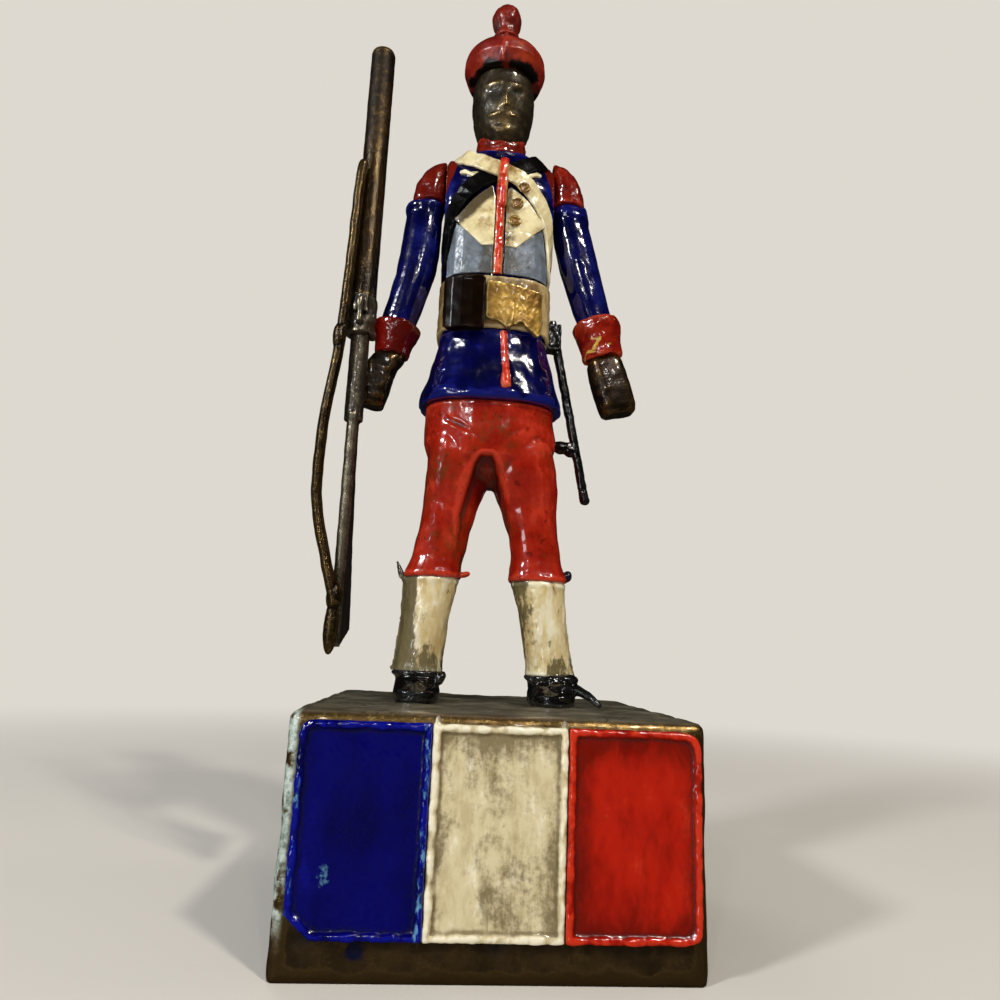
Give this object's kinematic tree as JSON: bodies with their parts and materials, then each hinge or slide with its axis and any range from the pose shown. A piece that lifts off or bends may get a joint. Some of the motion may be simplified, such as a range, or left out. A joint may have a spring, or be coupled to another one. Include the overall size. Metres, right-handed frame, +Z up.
{
  "type": "toy soldier figure",
  "caption": "Painted cast-metal toy soldier with a rifle, standing on a box plinth with a flag front; the arms turn on shoulder rivets.",
  "frame": {"origin": "middle of the plinth's open underside, on the surface it stands on", "axes": "+Z up, the figure and the flag panels face -Y, +X to the viewer's right"},
  "size_m": [0.0535, 0.0514, 0.1535],
  "materials": {
    "bronze": "dark patinated cast bronze, satin",
    "steel_rod": "plain drawn rod",
    "black_enamel": "gloss enamel",
    "pouch_enamel": "dark brown gloss enamel",
    "white_enamel": "aged cream-white gloss enamel",
    "red_enamel": "deep red gloss enamel",
    "blue_enamel": "ultramarine gloss enamel",
    "sky_enamel": "grey-blue gloss enamel",
    "tan_enamel": "buff enamel, worn",
    "gilt": "worn gold paint on brass",
    "panel_blue": "brushed dark blue enamel",
    "panel_white": "brushed off-white enamel",
    "panel_red": "brushed red enamel"
  },
  "bodies": {
    "figure": {"plinth": "bronze", "blue_panel": "panel_blue", "white_panel": "panel_white", "red_panel": "panel_red", "leg_pins": "steel_rod", "right_shoe": "black_enamel", "left_shoe": "black_enamel", "right_gaiter": "white_enamel", "left_gaiter": "white_enamel", "trousers": "red_enamel", "coat_skirt": "blue_enamel", "waist_dowel": "steel_rod", "torso": "blue_enamel", "waistcoat_panels": "sky_enamel", "lapels": "white_enamel", "white_crossbelt": "white_enamel", "black_crossbelt": "black_enamel", "front_piping": "red_enamel", "buttons": "gilt", "waist_belt": "tan_enamel", "cartridge_pouch": "pouch_enamel", "belt_buckle": "gilt", "collar": "red_enamel", "neck_pin": "steel_rod", "head": "bronze", "hat": "red_enamel", "pompom": "red_enamel", "scabbard": "black_enamel", "scabbard_frog": "black_enamel", "shoulder_rivets": "bronze"},
    "right_arm": {"right_epaulette": "red_enamel", "right_sleeve": "blue_enamel", "right_cuff": "red_enamel", "right_hand": "bronze", "rifle_barrel": "bronze", "rifle_lock": "bronze", "rifle_stock": "bronze", "rifle_sling": "bronze"},
    "left_arm": {"left_epaulette": "red_enamel", "left_sleeve": "blue_enamel", "left_cuff": "red_enamel", "left_hand": "bronze"}
  },
  "joints": [
    {"name": "right_shoulder", "type": "hinge", "parent": "figure", "child": "right_arm", "pos_m": [-0.0139, 0, 0.1154], "axis": [-1, 0, 0], "range_deg": [-45, 180]},
    {"name": "left_shoulder", "type": "hinge", "parent": "figure", "child": "left_arm", "pos_m": [0.0103, 0, 0.1168], "axis": [-1, 0, 0], "range_deg": [-45, 180]}
  ]
}
